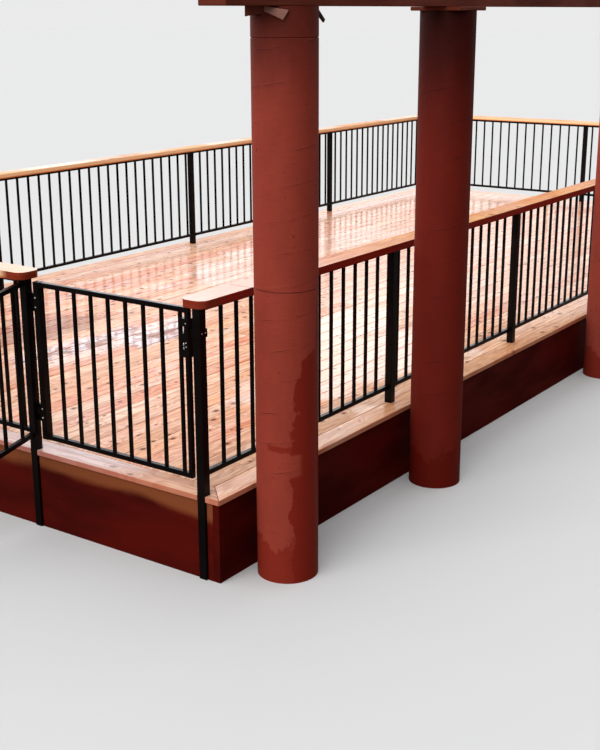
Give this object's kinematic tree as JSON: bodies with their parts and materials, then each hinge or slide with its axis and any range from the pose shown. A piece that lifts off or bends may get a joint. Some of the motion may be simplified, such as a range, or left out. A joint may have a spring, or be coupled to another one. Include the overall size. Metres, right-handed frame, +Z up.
{
  "type": "railed timber deck with a steel gate and a row of round porch columns",
  "caption": "Low timber deck with black steel baluster guards under wood cap rails, a swinging steel gate, a raked wing guard and a beam on round red columns.",
  "frame": {"origin": "middle of the footprint on the floor", "axes": "+X along the near guard away from the gate, +Y from the near guard to the far one, +Z up"},
  "size_m": [10.982, 4.7398, 2.911],
  "materials": {
    "deck_timber": "oiled cedar boards with knots, wet in places",
    "cap_timber": "oiled cedar with eased edges and a darker underside",
    "frame_timber": "rough sawn framing timber",
    "rim_red": "dark red paint on boards",
    "beam_red": "red brown paint on timber",
    "column_red": "brick red paint on cast columns, darker where wet",
    "black_steel": "satin black powder coat"
  },
  "bodies": {
    "deck": {"deck_field": "deck_timber", "border_boards": "deck_timber", "near_cap": "cap_timber", "far_cap": "cap_timber", "end_cap": "cap_timber", "side_cap": "cap_timber", "joists": "frame_timber", "sleepers": "frame_timber", "near_rim": "rim_red", "far_rim": "rim_red", "gate_rim": "rim_red", "end_rim": "rim_red", "bearing_plates": "beam_red", "beam": "beam_red", "left_column": "column_red", "middle_column": "column_red", "right_column": "column_red", "latch_post": "black_steel", "hinge_post": "black_steel", "wing_post": "black_steel", "near_posts": "black_steel", "far_posts": "black_steel", "end_posts": "black_steel", "side_posts": "black_steel", "near_panel_1": "black_steel", "near_panel_2": "black_steel", "near_panel_3": "black_steel", "near_panel_4": "black_steel", "near_panel_5": "black_steel", "near_panel_6": "black_steel", "far_panel_1": "black_steel", "far_panel_2": "black_steel", "far_panel_3": "black_steel", "far_panel_4": "black_steel", "end_panel_1": "black_steel", "end_panel_2": "black_steel", "side_panel_1": "black_steel", "side_panel_2": "black_steel", "wing_panel": "black_steel", "post_hinges": "black_steel", "latch_keeper": "black_steel"},
    "gate": {"gate_frame": "black_steel", "gate_balusters": "black_steel", "gate_hinges": "black_steel", "gate_latch": "black_steel"}
  },
  "joints": [
    {"name": "gate_swing", "type": "hinge", "parent": "deck", "child": "gate", "pos_m": [-4.269, -0.865, 0.43], "axis": [0, 0, 1], "range_deg": [0, 100]}
  ]
}
